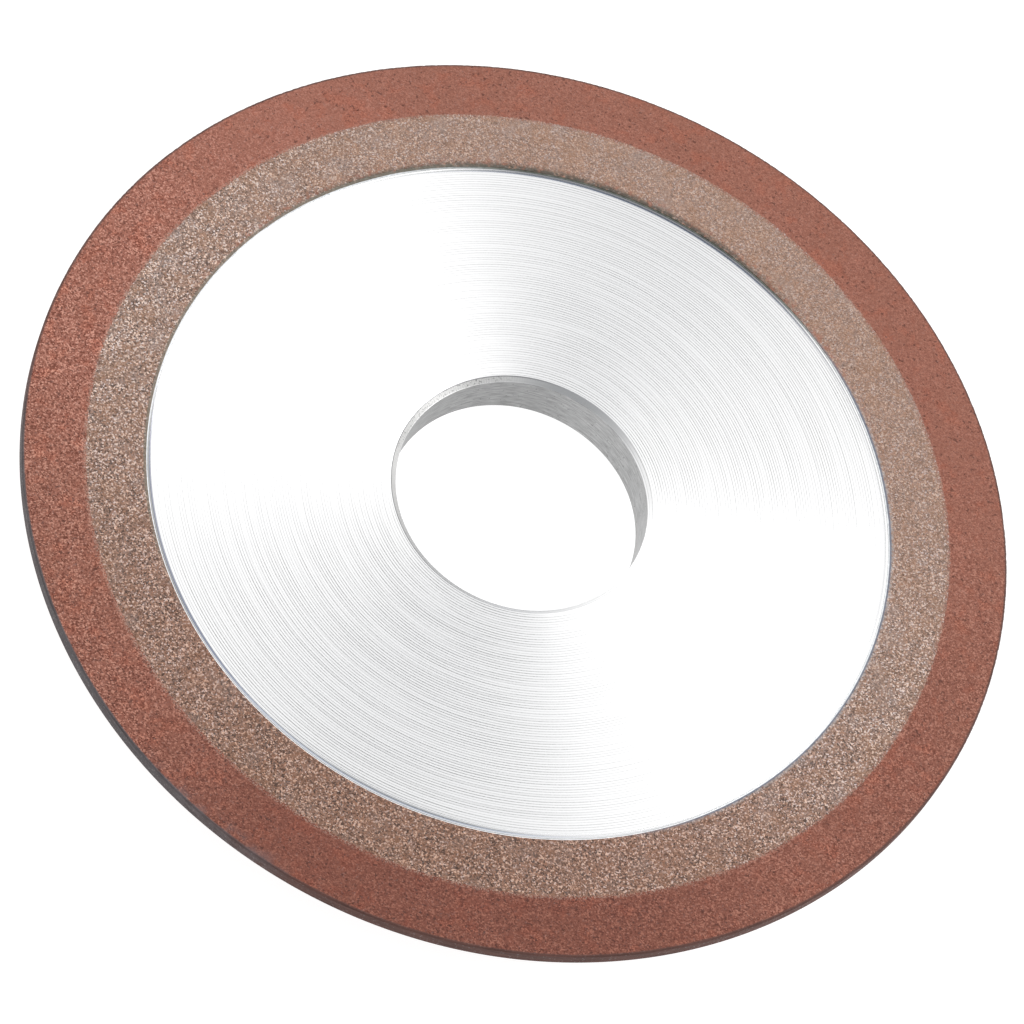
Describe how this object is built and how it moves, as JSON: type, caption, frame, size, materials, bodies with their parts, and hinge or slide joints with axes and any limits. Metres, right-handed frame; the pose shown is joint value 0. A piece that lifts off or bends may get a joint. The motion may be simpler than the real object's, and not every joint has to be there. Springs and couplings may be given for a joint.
{
  "type": "diamond grinding wheel",
  "caption": "Flat-faced diamond grinding wheel: bored aluminium hub with a resin-bonded diamond rim that tapers to a thin edge behind.",
  "frame": {"origin": "the wheel's centre: on the bore's axis, halfway through the hub", "axes": "+Z along the spin axis, out of the flat front face; the wheel lies flat on the seat round its bore"},
  "size_m": [0.125, 0.125, 0.007],
  "materials": {
    "hub_aluminium": "fine turned, satin",
    "adhesive": "cured adhesive, dull",
    "backing_bond": "gritty, matt",
    "diamond_bond": "fine grained, matt"
  },
  "bodies": {
    "root": {"hub_core": "hub_aluminium", "adhesive_film": "adhesive", "backing_ring": "backing_bond", "diamond_ring": "diamond_bond"}
  },
  "joints": []
}
